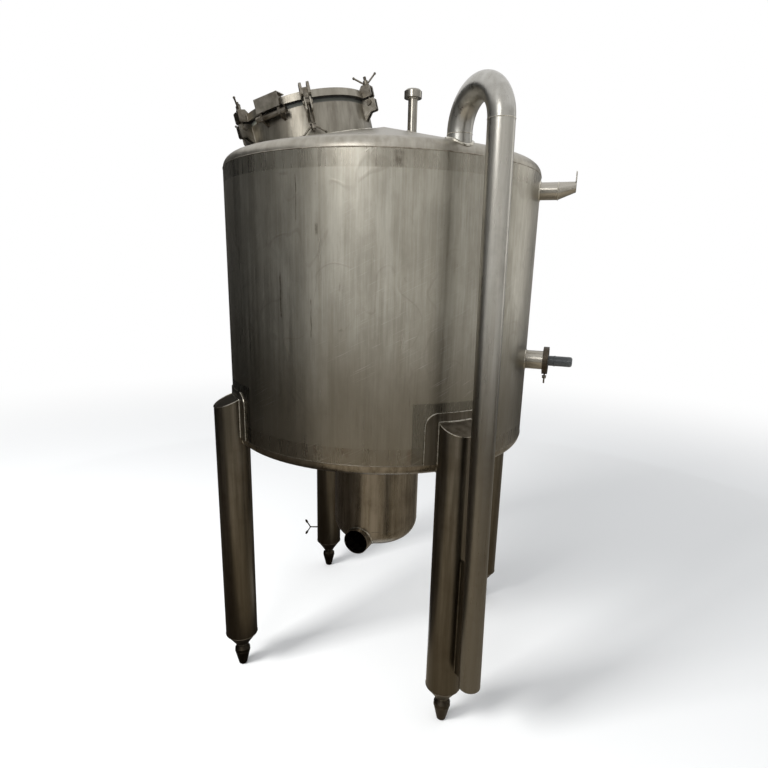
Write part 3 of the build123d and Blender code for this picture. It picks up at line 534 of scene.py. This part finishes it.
def spaced(path, spacing, closed):
    """Points at even distances along a line of points."""
    route = path + path[:1] if closed else path
    reached = [0.0]
    for a, b in zip(route, route[1:]):
        reached.append(reached[-1] + (b - a).length)
    count = max(2, round(reached[-1] / spacing))
    points, leg = [], 0
    for k in range(count if closed else count + 1):
        along = reached[-1] * k / count
        while leg < len(reached) - 2 and reached[leg + 1] < along:
            leg += 1
        part = (along - reached[leg]) / max(reached[leg + 1] - reached[leg], 1e-9)
        points.append(route[leg].lerp(route[leg + 1], part))
    return points


def skin(rings, closed=False):
    """Quads between rings of points, with flat ends unless the rings close."""
    sides = len(rings[0])
    corners = [corner for ring in rings for corner in ring]
    faces = []
    for i in range(len(rings) if closed else len(rings) - 1):
        here = i * sides
        there = (i + 1) % len(rings) * sides
        for k in range(sides):
            after = (k + 1) % sides
            faces.append((here + k, here + after, there + after, there + k))
    if not closed:
        faces.append(tuple(reversed(range(sides))))
        faces.append(tuple(range(len(corners) - sides, len(corners))))
    return corners, faces


def tube(path, radius, closed=False, sides=8, spacing=0.0025, ripple=0.0, pitch=0.005):
    """Round bar along a path; a ripple makes it a run of weld metal."""
    points = spaced(path, spacing, closed)
    last = len(points) - 1
    side = None
    rings = []
    for i, point in enumerate(points):
        ahead = points[(i + 1) % len(points)] if closed else points[min(i + 1, last)]
        behind = points[i - 1] if closed or i else points[0]
        along = (ahead - behind).normalized()
        side = side or along.orthogonal()
        side = (side - along * side.dot(along)).normalized()
        other = along.cross(side)
        wave = math.sin(i * spacing / pitch * math.tau)
        swell = math.sin(i * spacing * 37.0) + math.sin(i * spacing * 91.0 + 1.3)
        size = radius * (1 + ripple * (wave + 0.4 * swell))
        turns = [k * math.tau / sides for k in range(sides)]
        rings.append([point + (side * math.cos(t) + other * math.sin(t)) * size for t in turns])
    return skin(rings, closed)


def lathe(profile, matrix, sides=32):
    """Solid of revolution about a matrix's z, from (radius, height) points."""
    turns = [k * math.tau / sides for k in range(sides)]
    rings = [[matrix @ Vector((r * math.cos(t), r * math.sin(t), h)) for t in turns]
             for r, h in profile]
    return skin(rings)


def ball(centre, radius, sides=12):
    steps = [math.pi * (k + 0.25) / 8.5 for k in range(9)]
    profile = [(radius * math.sin(a), -radius * math.cos(a)) for a in steps]
    return lathe(profile, Matrix.Translation(centre), sides)


def circle(centre, side, other, radius, first=0.0, last=360.0, count=96):
    """Points round a circle, or along an arc of it with both ends."""
    whole = last - first == 360.0
    parts = count if whole else count - 1
    angles = [math.radians(first + (last - first) * k / parts) for k in range(count)]
    return [centre + (side * math.cos(a) + other * math.sin(a)) * radius for a in angles]


def flat_circle(z, radius, azimuth=0.0, reach=0.0):
    return circle(station(azimuth, reach, z), ACROSS, BACK, radius)


# Surfaces of the solids, for seating the weld beads.
def surface_of(*names):
    corners, faces = [], []
    for name in names:
        mesh = nodes[name].data
        first = len(corners)
        corners += [vertex.co.copy() for vertex in mesh.vertices]
        faces += [[first + i for i in face.vertices] for face in mesh.polygons]
    return BVHTree.FromPolygons(corners, faces)


def landed(surface, starts, direction):
    """Where rays from the starts meet the surface; those that miss are left out."""
    hits = [surface.ray_cast(start, direction)[0] for start in starts]
    return [hit for hit in hits if hit is not None]


# Weld beads.
seam_line = shell_radius - 0.0010   # centre of the shell's beads, a little under its skin
lug_face = 0.0125                   # outer faces, from the middle of each clamp or of the hinge
fork_face = 0.0185
hinge_lug_face = 0.0395
lug_weld_low = 0.019
hinge_weld_low = 0.047


def weld(name, paths, radius, key="weld", closed=False, ripple=0.14):
    runs = [tube(path, radius, closed, ripple=ripple) for path in paths]
    return add_piece(name, *joined(runs), key)


def weld_tank_seams():
    weld("weld_top_seam", [flat_circle(upper_seam_z, seam_line)], 0.0024, "seam", closed=True)
    weld("weld_bottom_seam", [flat_circle(lower_seam_z, seam_line)], 0.0024, "seam", closed=True)
    back = [station(190.0, seam_line, z) for z in (lower_seam_z, upper_seam_z)]
    weld("weld_back_seam", [back], 0.0022, "seam")


def weld_top_fittings():
    head = surface_of("top_head")
    neck = circle(manway_foot + manway_normal * 0.3, manway_x, manway_y, neck_radius + 0.0015,
                  count=180)
    weld("weld_manway_neck", [landed(head, neck, -manway_normal)], 0.0040, closed=True)
    foot = overflow_at(-overflow_bend_radius, 0.0)
    ring = circle(foot, overflow_out, overflow_side, overflow_radius + 0.0025)
    weld("weld_overflow_root", [landed(head, ring, -overflow_up)], 0.0050, closed=True, ripple=0.20)
    ends = [circle(overflow_at(x, 0.0), overflow_out, overflow_side, overflow_radius - 0.0003)
            for x in (-overflow_bend_radius, overflow_bend_radius)]
    weld("weld_overflow_bend", ends, 0.0013, closed=True)
    vent = flat_circle(vent_top_z, vent_radius + 0.0015, vent_azimuth, vent_reach)
    weld("weld_vent_root", [landed(head, vent, -UP)], 0.0030, closed=True)
    collar = flat_circle(vent_top_z - 0.0005, vent_radius + 0.0005, vent_azimuth, vent_reach)
    weld("weld_vent_cap", [collar], 0.0018, closed=True)


def weld_nozzles():
    shell = surface_of("shell")
    out = outward(nozzle_azimuth)
    side = sideways(nozzle_azimuth)
    for name, z, radius in (("upper", upper_z, upper_radius), ("lower", lower_z, lower_radius)):
        ring = circle(station(nozzle_azimuth, lower_reach, z), side, UP, radius + 0.0015)
        weld(f"weld_{name}_nozzle", [landed(shell, ring, -out)], 0.0036, closed=True, ripple=0.18)
    joint = circle(station(nozzle_azimuth, upper_weld_reach, upper_z), side, UP, upper_radius - 0.0002)
    weld("weld_upper_reducer", [joint], 0.0018, closed=True)


def weld_sump():
    head = surface_of("bottom_head")
    start = flat_circle(sump_side_z, sump_radius + 0.0015)
    weld("weld_sump_top", [landed(head, start, UP)], 0.0038, closed=True)
    gap = math.degrees(math.asin((outlet_radius + 0.004) / sump_radius))
    middle = outlet_azimuth - 90.0
    seam = circle(station(0.0, 0.0, sump_side_z), ACROSS, BACK, sump_radius - 0.0009,
                  middle + gap, middle + 360.0 - gap)
    weld("weld_sump_seam", [seam], 0.0016, "leg_weld")
    out = outward(outlet_azimuth)
    ring = circle(station(outlet_azimuth, outlet_reach, outlet_z), sideways(outlet_azimuth), UP,
                  outlet_radius + 0.0010, count=144)
    sump = surface_of("sump_shell", "sump_bottom")
    weld("weld_sump_outlet", [landed(sump, ring, -out)], 0.0030)


def cap_z(x):
    """Height of a leg's sloping cap at a reach from the tank's axis."""
    return cap_outer_z + (leg_circle + leg_radius - x) * math.tan(cap_slope)


def leg_point(azimuth, x, y, z):
    return station(azimuth, x, z) + sideways(azimuth) * y


# Where a leg's round meets the pad's.
meet_x = (pad_radius ** 2 - leg_radius ** 2 + leg_circle ** 2) / (2 * leg_circle)
meet_y = math.sqrt(pad_radius ** 2 - meet_x ** 2)
meet_angle = math.atan2(meet_y, meet_x - leg_circle)


def leg_cap_edge(azimuth):
    steps = [meet_angle * (k / 30 - 1) for k in range(61)]
    rim = [(leg_circle + leg_radius * math.cos(a), leg_radius * math.sin(a)) for a in steps]
    return [leg_point(azimuth, x, y, cap_z(x)) for x, y in rim]


def leg_on_pad(azimuth):
    """Up one side of the leg, over the cap's upper edge and down the other side."""
    steps = [meet_y * (k / 15 - 1) for k in range(31)]
    top = [(math.sqrt(pad_radius ** 2 - y ** 2), y) for y in steps]
    low = [leg_point(azimuth, meet_x, y, lower_seam_z) for y in (-meet_y, meet_y)]
    return [low[0]] + [leg_point(azimuth, x, y, cap_z(x)) for x, y in top] + [low[1]]


def leg_under_head(azimuth, head):
    steps = [meet_angle + (math.tau - 2 * meet_angle) * k / 60 for k in range(61)]
    reach = leg_radius + 0.0010
    rim = [leg_point(azimuth, leg_circle + reach * math.cos(a), reach * math.sin(a), 0.8) for a in steps]
    return landed(head, rim, UP)


def pad_outline(azimuth):
    """Up one side of the pad, round its upper corners and down the other side, on the shell."""
    corner = [math.radians(6 * k) for k in range(16)]
    flat = pad_half_width - pad_corner
    rim = [(pad_half_width, lower_seam_z)]
    bend_z = pad_top_z - pad_corner
    rim += [(flat + pad_corner * math.cos(a), bend_z + pad_corner * math.sin(a)) for a in corner]
    rim += [(flat * (1 - k / 8), pad_top_z) for k in range(1, 17)]
    rim += [(-flat - pad_corner * math.sin(a), bend_z + pad_corner * math.cos(a)) for a in corner]
    rim += [(-pad_half_width, lower_seam_z)]
    reach = pad_radius - 0.0022
    return [leg_point(azimuth, math.sqrt(reach ** 2 - y ** 2), y, z) for y, z in rim]


def weld_legs():
    head = surface_of("bottom_head")
    for number, azimuth in enumerate(leg_azimuths, 1):
        weld(f"weld_pad_{number}", [pad_outline(azimuth)], 0.0021)
        runs = [leg_on_pad(azimuth), leg_under_head(azimuth, head)]
        weld(f"weld_leg_{number}", runs, 0.0030)
        weld(f"weld_cap_{number}", [leg_cap_edge(azimuth)], 0.0018)
        joints = [flat_circle(leg_end_z, leg_radius - 0.0004, azimuth, leg_circle),
                  flat_circle(leg_cone_z + 0.0005, leg_cone_radius - 0.0004, azimuth, leg_circle)]
        weld(f"weld_leg_end_{number}", joints, 0.0017, "leg_weld", closed=True)


def weld_stay():
    leg = surface_of("leg_1")
    pipe = surface_of("overflow_pipe")
    low = overflow_at(overflow_bend_radius, -overflow_length)
    axis = station(leg_azimuths[0], leg_circle, low.z)
    middle = low + overflow_up * (stay_top_z - low.z) / 2
    along = Vector((middle.x - axis.x, middle.y - axis.y, 0)).normalized()
    across = UP.cross(along)
    runs = []
    for side in (-1, 1):
        offset = across * side * (stay_thickness / 2 + 0.0008)
        half_way = axis + along * (leg_radius + 0.018) + offset
        starts = [half_way + UP * (0.004 + (stay_top_z - low.z - 0.008) * k / 40) for k in range(41)]
        runs += [landed(leg, starts, -along), landed(pipe, starts, along)]
    weld("weld_stay", runs, 0.0021, "leg_weld")


def upright_run(angle, offset, reach, low, high):
    """Line along the neck at a sideways offset from the middle of a clamp or of the hinge."""
    turn = math.degrees(math.asin(offset / reach))
    return [around_neck(angle + turn, reach, height) for height in (low, high)]


def weld_clamps():
    """Short upright runs where the lugs stand on the neck and the forks on the lid's band."""
    lug_top = neck_height - 0.002
    runs = []
    for angle in clamp_angles:
        for side in (-1, 1):
            runs.append(upright_run(angle, side * lug_face, neck_radius, lug_weld_low, lug_top))
            runs.append(upright_run(angle, side * fork_face, lid_radius, lid_bottom + 0.001, lid_top))
    for side in (-1, 1):
        runs.append(upright_run(hinge_angle, side * hinge_lug_face, neck_radius, hinge_weld_low, lug_top))
    weld("weld_clamps", runs, 0.0015, "clamp_weld")


# Fittings.
bolt_thread_low = 0.026
pin_washer_reach = 0.0128           # along each pin, from the middle of its clamp or of the hinge
pin_end_reach = 0.0170
hinge_washer_reach = 0.0402
split_pin_reach = 0.0550
clamp_screw_drop = 0.048            # top of the nozzle clamp's screw, under the nozzle's axis


def threads(matrix, low, high, radius, pitch=0.0020, depth=0.0006):
    """Ridges on a rod between two heights along a matrix's z."""
    count = round((high - low) / pitch)
    profile = [(radius - 0.0004, low)]
    for k in range(count):
        base = low + pitch * k
        profile += [(radius, base + pitch * 0.1), (radius + depth, base + pitch * 0.5),
                    (radius, base + pitch * 0.9)]
    return lathe(profile + [(radius - 0.0004, high)], matrix, 20)


def disc(matrix, low, high, radius, edge=0.0005, sides=32):
    profile = [(radius - edge, low), (radius, low + edge), (radius, high - edge), (radius - edge, high)]
    return lathe(profile, matrix, sides)


def washer(matrix, middle, half, radius):
    return disc(matrix, middle - half, middle + half, radius)


def add_bolt(number, angle):
    """Thread, nut flange and arm ends of one swing bolt, and the washers of its pin."""
    rest = clamp_frame(angle)
    turned = rest
    nut_low = fork_top - pin_height
    body = "tank"
    if number == 1:
        lean = math.atan2(-rest.col[1].to_3d().dot(UP), -rest.col[2].to_3d().dot(UP))
        turned = rest @ Matrix.Rotation(-lean, 4, "X")
        nut_low += nut_screwed_out
        body = "released_bolt"
    thread = threads(turned, bolt_thread_low, rod_length - 0.001, rod_radius)
    add_piece(f"bolt_thread_{number}", *thread, "thread", body)
    collar = disc(turned, nut_low + 0.0002, nut_low + 0.0032, nut_radius + 0.0024)
    nut_top = nut_low + nut_height
    crown = disc(turned, nut_top - 0.004, nut_top + 0.0012, nut_radius - 0.0018)
    add_piece(f"bolt_nut_{number}", *joined([collar, crown]), "clamp", body)
    turn = math.radians(nut_turns[number - 1])
    tip_height = nut_low + nut_arm_base + nut_arm_rise
    tips = [turned @ Vector((side * math.cos(turn) * nut_arm_reach,
                             side * math.sin(turn) * nut_arm_reach, tip_height)) for side in (-1, 1)]
    balls = joined([ball(tip, nut_arm_radius * 1.45) for tip in tips])
    add_piece(f"bolt_arm_ends_{number}", *balls, "thread", body)
    pin = rest @ Matrix.Rotation(math.pi / 2, 4, "Y")
    washers = [washer(pin, side * pin_washer_reach, 0.0008, 0.0110) for side in (-1, 1)]
    ends = [washer(pin, side * pin_end_reach, 0.0008, 0.0060) for side in (-1, 1)]
    add_piece(f"bolt_pin_{number}", *joined(washers + ends), "clamp")


def add_hinge_details():
    """Washers on the hinge pin, and a split pin through each of its ends."""
    away = from_neck(hinge_angle)
    side = away.cross(manway_normal)
    centre = around_neck(hinge_angle, hinge_pin_reach, hinge_pin_height)
    pin = Matrix((away, manway_normal, side)).transposed().to_4x4()
    pin.translation = centre
    shapes = []
    for end in (-1, 1):
        shapes.append(washer(pin, end * hinge_washer_reach, 0.0011, 0.0125))
        hole = centre + side * end * split_pin_reach
        shapes.append(tube([hole - manway_normal * 0.013, hole + manway_normal * 0.013], 0.0014))
        loop = circle(hole + manway_normal * 0.0155, manway_normal, away, 0.0030, count=24)
        shapes.append(tube(loop, 0.0010, closed=True, spacing=0.0012))
    add_piece("hinge_pin_details", *joined(shapes), "clamp")


def add_probe_details():
    """Wing nut, washer and thread under the clamp ring, and two collars on the probe."""
    out = outward(nozzle_azimuth)
    side_way = sideways(nozzle_azimuth)
    down = station(nozzle_azimuth, lower_reach, lower_z - clamp_screw_drop)
    screw = Matrix((out, -side_way, -UP)).transposed().to_4x4()
    screw.translation = down
    nut = disc(screw, 0.012, 0.021, 0.0075, 0.0008, 6)
    seat = disc(screw, 0.0100, 0.0118, 0.0088)
    wings = [tube([down - UP * 0.017 + side_way * side * 0.005,
                   down - UP * 0.026 + side_way * side * 0.019], 0.0026) for side in (-1, 1)]
    add_piece("probe_clamp_nut", *joined([nut, seat] + wings), "clamp")
    add_piece("probe_clamp_thread", *threads(screw, 0.0, 0.039, 0.003, 0.0014, 0.0004), "thread")
    along = Matrix((side_way, UP, out)).transposed().to_4x4()
    along.translation = station(nozzle_azimuth, lower_reach, lower_z)
    groove = disc(along, 0.030, 0.036, 0.0202, 0.0008)
    root = disc(along, 0.002, 0.010, 0.0235, 0.0012)
    add_piece("probe_collars", *joined([groove, root]), "probe")


def add_foot_details():
    """Thread on each foot's neck, and a flat ring under its crown."""
    for number, azimuth in enumerate(leg_azimuths, 1):
        post = Matrix.Translation(station(azimuth, leg_circle, 0.0))
        shapes = [threads(post, foot_neck_z + 0.0005, leg_cone_z - 0.0005, foot_neck_radius - 0.0001,
                          0.0030, 0.0010)]
        shapes.append(disc(post, foot_shoulder_z, foot_shoulder_z + 0.0025, 0.0316, 0.0006, 48))
        add_piece(f"foot_thread_{number}", *joined(shapes), "foot")


weld_tank_seams()
weld_top_fittings()
weld_nozzles()
weld_sump()
weld_legs()
weld_stay()
weld_clamps()
for number, angle in enumerate(clamp_angles, 1):
    add_bolt(number, angle)
add_hinge_details()
add_probe_details()
add_foot_details()


# Camera: the photograph's view, as found from the tank's outlines.
image_size = 768
focal_pixels = 550.14
centre_x = 387.49
centre_y = 408.67
camera_azimuth = 19.6
camera_reach = 2.3048
camera_z = 1.6586
camera_turn = 0.0178
pitch = 0.2487
roll = 0.0251
heading = math.radians(camera_azimuth) - camera_turn

forward = Vector((-math.sin(heading) * math.cos(pitch), math.cos(heading) * math.cos(pitch),
                  -math.sin(pitch)))
level_right = Vector((math.cos(heading), math.sin(heading), 0))
level_up = level_right.cross(forward)
right = level_right * math.cos(roll) + level_up * math.sin(roll)
above = level_up * math.cos(roll) - level_right * math.sin(roll)
camera_data = bpy.data.cameras.new("camera")
camera_data.sensor_width = 36.0
camera_data.lens = camera_data.sensor_width * focal_pixels / image_size
camera_data.shift_x = (image_size / 2 - centre_x) / image_size
camera_data.shift_y = (centre_y - image_size / 2) / image_size
camera = bpy.data.objects.new("camera", camera_data)
camera.matrix_world = Matrix((right, above, -forward)).transposed().to_4x4()
camera.matrix_world.translation = station(camera_azimuth, camera_reach, camera_z)
bpy.context.scene.collection.objects.link(camera)
bpy.context.scene.camera = camera


# Floor, cards, lamps and world.
floor_reach = 40.0
card_reach = 3.4
card_height = 3.6
card_parts = 24


def stage_piece(name, corners, faces, material):
    piece = add_mesh(name, corners, faces)
    piece.data.materials.append(material)
    return piece


def add_floor():
    """Pale floor that turns into the white background far out."""
    g = Graph("floor_paint")
    material = g.give(base=(0.92, 0.92, 0.91), rough=0.8)
    away = g.node("ShaderNodeVectorMath", {0: g.place}, output=1, operation="LENGTH")
    white = g.tree.nodes.new("ShaderNodeEmission")
    both = g.tree.nodes.new("ShaderNodeMixShader")
    g.tree.links.new(g.step(away, 2.5, 7.0), both.inputs[0])
    g.tree.links.new(g.shader.outputs[0], both.inputs[1])
    g.tree.links.new(white.outputs[0], both.inputs[2])
    g.tree.links.new(both.outputs[0], g.tree.nodes["Material Output"].inputs["Surface"])
    corners = [(x * floor_reach, y * floor_reach, 0) for x, y in ((-1, -1), (1, -1), (1, 1), (-1, 1))]
    stage_piece("floor", corners, [(0, 1, 2, 3)], material)


def reflected_only(piece):
    piece.visible_camera = False
    piece.visible_diffuse = False
    piece.visible_shadow = False


def card_strip(first, last, low_edge, high_edge):
    """Corners and faces of a strip between two azimuths; each edge gives a reach and a height."""
    angles = [first + (last - first) * k / card_parts for k in range(card_parts + 1)]
    corners = [outward(a) * reach + UP * z for reach, z in (low_edge, high_edge) for a in angles]
    faces = [(k, k + 1, card_parts + k + 2, card_parts + k + 1) for k in range(card_parts)]
    return corners, faces


def add_card(name, first, last, tone, low, high, floor_share):
    """Curved upright card round the tank that only the steel's reflections see, darker low down."""
    strip = card_strip(first, last, (card_reach, 0.0), (card_reach, card_height))
    full = (tone, tone * 0.98, tone * 0.94)
    g = Graph(name)
    base = g.mix(g.step(g.split()[2], low, high), tuple(part * floor_share for part in full), full)
    reflected_only(stage_piece(name, *strip, g.give(base=base, rough=0.9)))


def add_floor_card(name, first, last, tone):
    """Flat card round the feet, seen only in reflections."""
    strip = card_strip(first, last, (0.2, 0.002), (card_reach, 0.002))
    reflected_only(stage_piece(name, *strip, Graph(name).give(base=tone, rough=0.9)))


def lamp(name, azimuth, height, distance, size, power, mirrored=True):
    data = bpy.data.lights.new(name, "AREA")
    data.shape = "RECTANGLE"
    data.size, data.size_y = size
    data.energy = power
    piece = bpy.data.objects.new(name, data)
    target = Vector((0, 0, 1.3))
    piece.location = outward(azimuth) * distance + UP * height
    piece.rotation_euler = (target - piece.location).to_track_quat("-Z", "Y").to_euler()
    piece.visible_glossy = mirrored
    bpy.context.scene.collection.objects.link(piece)


def add_world(tone, strength):
    """White background for the camera and in reflections, and a plain level of light elsewhere."""
    world = bpy.data.worlds.new("studio")
    world.use_nodes = True
    tree = world.node_tree
    background = tree.nodes["Background"]
    background.inputs["Color"].default_value = (*tone, 1.0)
    background.inputs["Strength"].default_value = strength
    white = tree.nodes.new("ShaderNodeBackground")
    white.inputs["Color"].default_value = (1, 1, 1, 1)
    rays = tree.nodes.new("ShaderNodeLightPath")
    seen = tree.nodes.new("ShaderNodeMath")
    seen.operation = "MAXIMUM"
    seen_glossy = tree.nodes.new("ShaderNodeMath")
    seen_glossy.operation = "MAXIMUM"
    both = tree.nodes.new("ShaderNodeMixShader")
    tree.links.new(rays.outputs["Is Camera Ray"], seen.inputs[0])
    tree.links.new(rays.outputs["Is Glossy Ray"], seen_glossy.inputs[0])
    tree.links.new(rays.outputs["Is Transmission Ray"], seen_glossy.inputs[1])
    tree.links.new(seen_glossy.outputs[0], seen.inputs[1])
    tree.links.new(seen.outputs[0], both.inputs[0])
    tree.links.new(background.outputs[0], both.inputs[1])
    tree.links.new(white.outputs[0], both.inputs[2])
    tree.links.new(both.outputs[0], tree.nodes["World Output"].inputs["Surface"])
    bpy.context.scene.world = world


add_floor()
add_world((0.95, 0.97, 1.0), 0.75)
for name, first, last, tone, low, high, floor_share in (
        ("far_left", -165.0, -72.0, 0.016, 0.5, 2.2, 0.7), ("left", -72.0, -53.0, 0.17, 1.0, 2.2, 0.35),
        ("front_left", -53.0, -28.0, 0.26, 0.9, 2.2, 0.35), ("front", -28.0, 58.0, 0.62, 0.0, 1.1, 0.60),
        ("right", 58.0, 96.0, 0.50, 0.0, 1.1, 0.75), ("far_right", 96.0, 113.0, 0.30, 0.0, 1.1, 0.60),
        ("back_right", 113.0, 139.0, 1.00, 0.4, 1.6, 0.40), ("back", 139.0, 195.0, 0.20, 0.4, 1.6, 0.40)):
    add_card(f"card_{name}", first, last, tone, low, high, floor_share)
add_floor_card("floor_card_left", -180.0, -20.0, (0.05, 0.04, 0.03))
add_floor_card("floor_card_right", -20.0, 180.0, (0.44, 0.39, 0.31))
lamp("key", -38.0, 3.4, 4.4, (1.6, 1.6), 260.0, mirrored=False)
lamp("highlight", -3.0, 3.0, 3.2, (1.0, 1.2), 21.0)
bpy.context.scene.view_settings.view_transform = "Standard"
